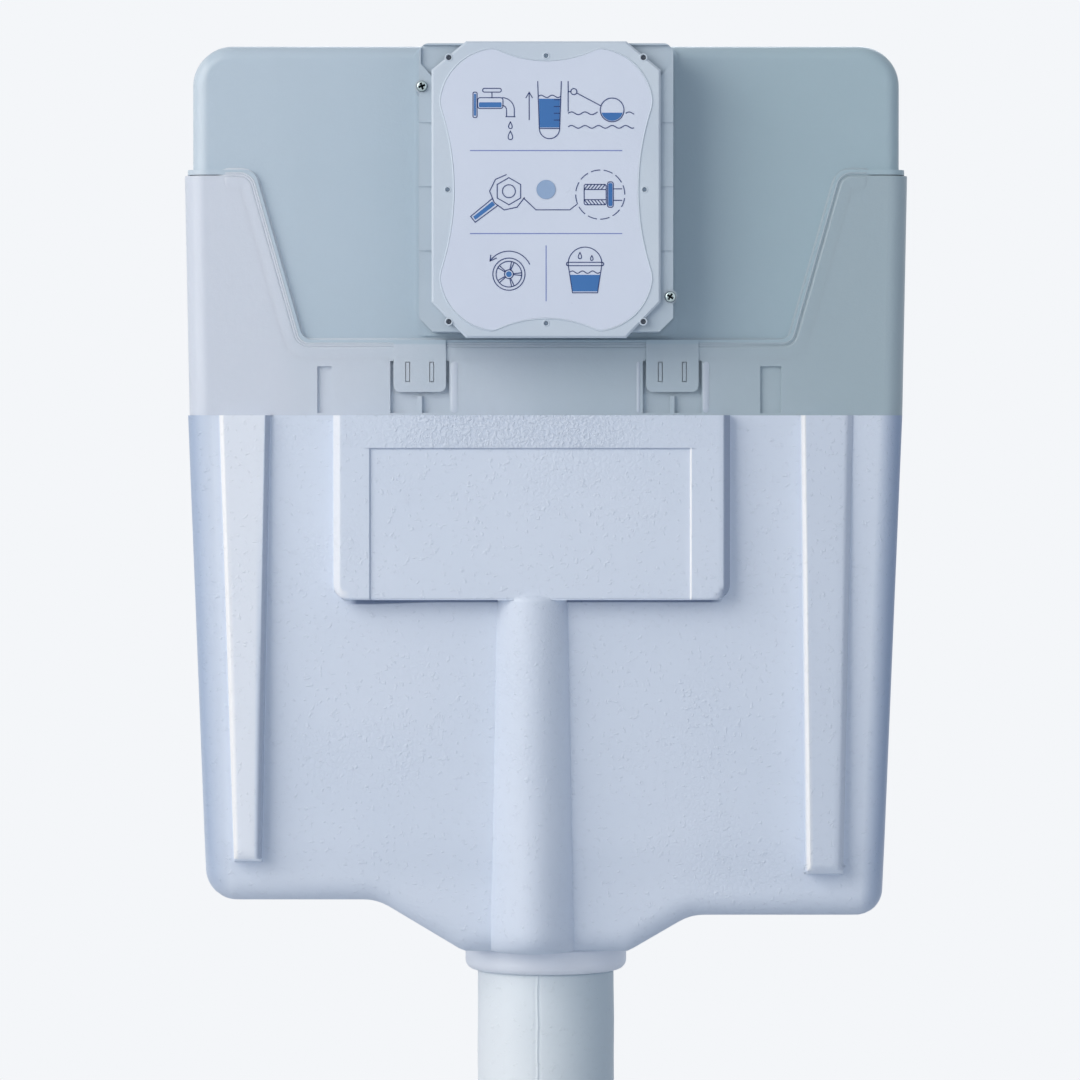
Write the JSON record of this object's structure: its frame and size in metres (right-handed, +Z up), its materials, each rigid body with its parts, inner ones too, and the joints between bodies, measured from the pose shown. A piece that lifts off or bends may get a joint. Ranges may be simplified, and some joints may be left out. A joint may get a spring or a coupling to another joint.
{
  "type": "toilet cistern",
  "caption": "Concealed front-operated toilet cistern: two-shell tank, foam jacket, service shaft with pull-off cover, flush and fill valves, wall brackets and insulated flush bend.",
  "frame": {"origin": "middle of the four wall fixing holes, on the finished face of the wall behind the cistern", "axes": "+X to the right seen from the front, the front faces -Y, +Y runs into the wall, +Z up"},
  "size_m": [0.4344, 0.231, 0.7542],
  "materials": {
    "milky_tank": "milky translucent polyethylene with a soft satin skin",
    "white_foam": "expanded bead foam, moulded skin",
    "pale_shaft_plastic": "moulded plastic, fine satin",
    "cover_plastic": "moulded plastic, half gloss",
    "label_film": null,
    "peg_grey": "dark grey plastic",
    "plug_blue": "pale blue plastic",
    "zinc_steel": "zinc plated",
    "galvanised_sheet": "galvanised sheet",
    "black_rubber": "matt rubber",
    "grey_pipe": "extruded polyethylene",
    "white_valve_plastic": "moulded plastic",
    "blue_valve_plastic": "moulded plastic",
    "float_foam": "foam and moulded plastic",
    "air_line": "soft clear-grey tube",
    "plated_brass": "nickel plated brass",
    "handle_plastic": "moulded handle",
    "braided_hose": "stainless braid"
  },
  "bodies": {
    "tank": {"tank_lower_shell": "milky_tank", "tank_upper_shell": "milky_tank", "jacket_front": "white_foam", "jacket_rear": "white_foam", "sleeve_collar": "white_foam", "pipe_sleeve": "white_foam", "inspection_shaft": "pale_shaft_plastic", "air_connectors": "pale_shaft_plastic", "shaft_screws": "zinc_steel", "bracket_screws": "zinc_steel", "lever_pin": "zinc_steel", "wall_bracket_left": "galvanised_sheet", "wall_bracket_right": "galvanised_sheet", "pipe_seal": "black_rubber", "outlet_gasket": "black_rubber", "shaft_gasket": "black_rubber", "lift_bellows": "black_rubber", "flush_bend": "grey_pipe", "outlet_seat": "white_valve_plastic", "outlet_nut": "white_valve_plastic", "valve_basket": "white_valve_plastic", "valve_tower": "white_valve_plastic", "fill_valve_body": "white_valve_plastic", "fill_outlet_tube": "white_valve_plastic", "fill_bracket": "white_valve_plastic", "bellows_nipples": "white_valve_plastic", "fill_valve_head": "blue_valve_plastic", "air_hose_left": "air_line", "air_hose_right": "air_line", "stop_valve_body": "plated_brass", "inlet_lock_nut": "plated_brass", "hose_nuts": "plated_brass", "supply_hose": "braided_hose"},
    "cover": {"shaft_cover": "cover_plastic", "cover_label": "label_film", "cover_pegs": "peg_grey", "centre_plug": "plug_blue"},
    "flush_lifter": {"overflow_tube": "blue_valve_plastic", "valve_seal": "black_rubber", "lift_yoke": "blue_valve_plastic"},
    "drop_float": {"partial_flush_float": "float_foam"},
    "fill_float": {"fill_float": "float_foam", "float_rod": "float_foam"},
    "fill_lever": {"float_lever": "blue_valve_plastic"},
    "pilot": {"pilot_pin": "zinc_steel"},
    "stop_handle": {"stop_valve_handle": "handle_plastic"}
  },
  "joints": [
    {"name": "cover_pull", "type": "slide", "parent": "tank", "child": "cover", "axis": [0, -1, 0], "range_m": [0, 0.06]},
    {"name": "flush_lift", "type": "slide", "parent": "tank", "child": "flush_lifter", "axis": [0, 0, 1], "range_m": [0, 0.02], "deforming": ["lift_bellows"]},
    {"name": "drop_float_rise", "type": "slide", "parent": "tank", "child": "drop_float", "axis": [0, 0, 1], "range_m": [0, 0.03]},
    {"name": "fill_float_rise", "type": "slide", "parent": "tank", "child": "fill_float", "axis": [0, 0, 1], "range_m": [0, 0.008]},
    {"name": "fill_lever_tilt", "type": "hinge", "parent": "tank", "child": "fill_lever", "pos_m": [-0.127, -0.063, 0.094], "axis": [0, 1, 0], "range_deg": [0, 21]},
    {"name": "pilot_press", "type": "slide", "parent": "tank", "child": "pilot", "axis": [0, 0, -1], "range_m": [0, 0.004]},
    {"name": "stop_valve_turn", "type": "hinge", "parent": "tank", "child": "stop_handle", "pos_m": [0.045, -0.0666, 0.1], "axis": [0, -1, 0], "range_deg": [0, 90]}
  ],
  "couplings": [
    {"joint": "fill_lever_tilt", "follows": "fill_float_rise", "rad_per_m": 45.455},
    {"joint": "pilot_press", "follows": "fill_float_rise", "ratio": 0.48}
  ]
}
